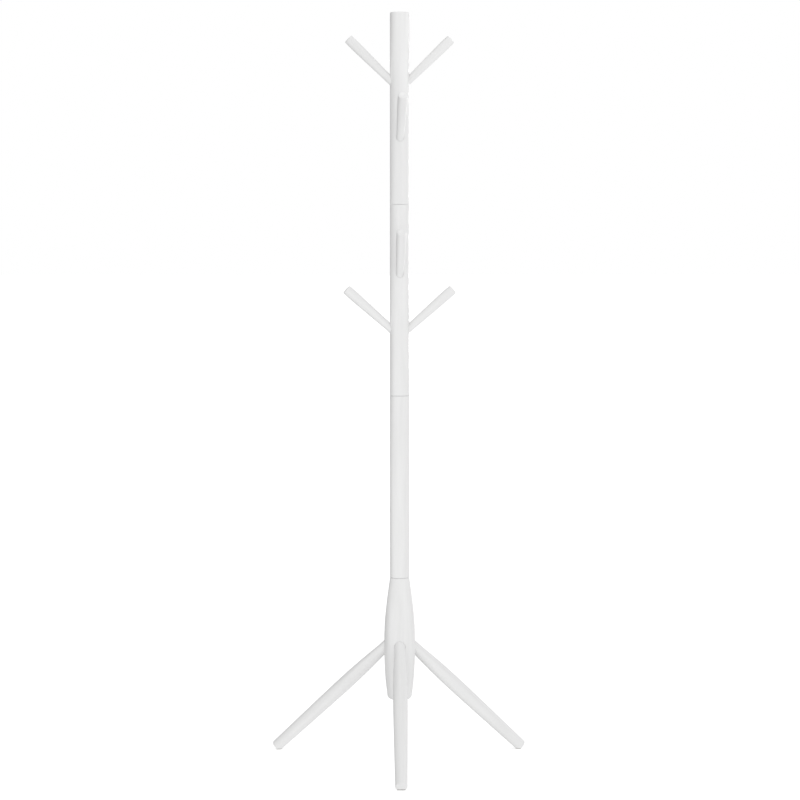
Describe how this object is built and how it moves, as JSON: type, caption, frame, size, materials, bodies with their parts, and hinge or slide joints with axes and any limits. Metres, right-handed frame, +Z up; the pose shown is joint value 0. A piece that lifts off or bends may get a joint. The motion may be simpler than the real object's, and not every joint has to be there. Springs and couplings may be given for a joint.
{
  "type": "standing coat rack",
  "caption": "Free-standing coat rack: turned wooden pole in screwed sections with upward-slanting pegs, on a swollen hub with splayed legs.",
  "frame": {"origin": "at floor level under the middle of the bounding box, 80 mm in front of the pole's axis", "axes": "+Z up along the pole, -Y towards the front leg, +X to the right seen from the front"},
  "size_m": [0.606, 0.5284, 1.75],
  "materials": {
    "white_lacquer": "opaque white satin lacquer over turned hardwood, faint grain",
    "zinc_steel": "bright zinc-plated steel",
    "insert_zinc": "yellow-passivated zinc alloy",
    "felt_pad": "pale pressed felt"
  },
  "bodies": {
    "root": {"base_hub": "white_lacquer", "lower_pole_section": "white_lacquer", "middle_pole_section": "white_lacquer", "upper_pole_section": "white_lacquer", "upper_peg_right": "white_lacquer", "upper_peg_left": "white_lacquer", "upper_peg_back": "white_lacquer", "upper_peg_front": "white_lacquer", "middle_peg_right": "white_lacquer", "middle_peg_left": "white_lacquer", "middle_peg_back": "white_lacquer", "middle_peg_front": "white_lacquer", "front_leg": "white_lacquer", "right_leg": "white_lacquer", "left_leg": "white_lacquer", "front_leg_pad": "felt_pad", "right_leg_pad": "felt_pad", "left_leg_pad": "felt_pad", "lower_joint_bolt": "zinc_steel", "lower_joint_insert": "insert_zinc", "middle_joint_bolt": "zinc_steel", "middle_joint_insert": "insert_zinc", "upper_joint_bolt": "zinc_steel", "upper_joint_insert": "insert_zinc", "upper_peg_right_bolt": "zinc_steel", "upper_peg_right_insert": "insert_zinc", "upper_peg_left_bolt": "zinc_steel", "upper_peg_left_insert": "insert_zinc", "upper_peg_back_bolt": "zinc_steel", "upper_peg_back_insert": "insert_zinc", "upper_peg_front_bolt": "zinc_steel", "upper_peg_front_insert": "insert_zinc", "middle_peg_right_bolt": "zinc_steel", "middle_peg_right_insert": "insert_zinc", "middle_peg_left_bolt": "zinc_steel", "middle_peg_left_insert": "insert_zinc", "middle_peg_back_bolt": "zinc_steel", "middle_peg_back_insert": "insert_zinc", "middle_peg_front_bolt": "zinc_steel", "middle_peg_front_insert": "insert_zinc", "front_leg_bolt": "zinc_steel", "front_leg_insert": "insert_zinc", "right_leg_bolt": "zinc_steel", "right_leg_insert": "insert_zinc", "left_leg_bolt": "zinc_steel", "left_leg_insert": "insert_zinc"}
  },
  "joints": []
}
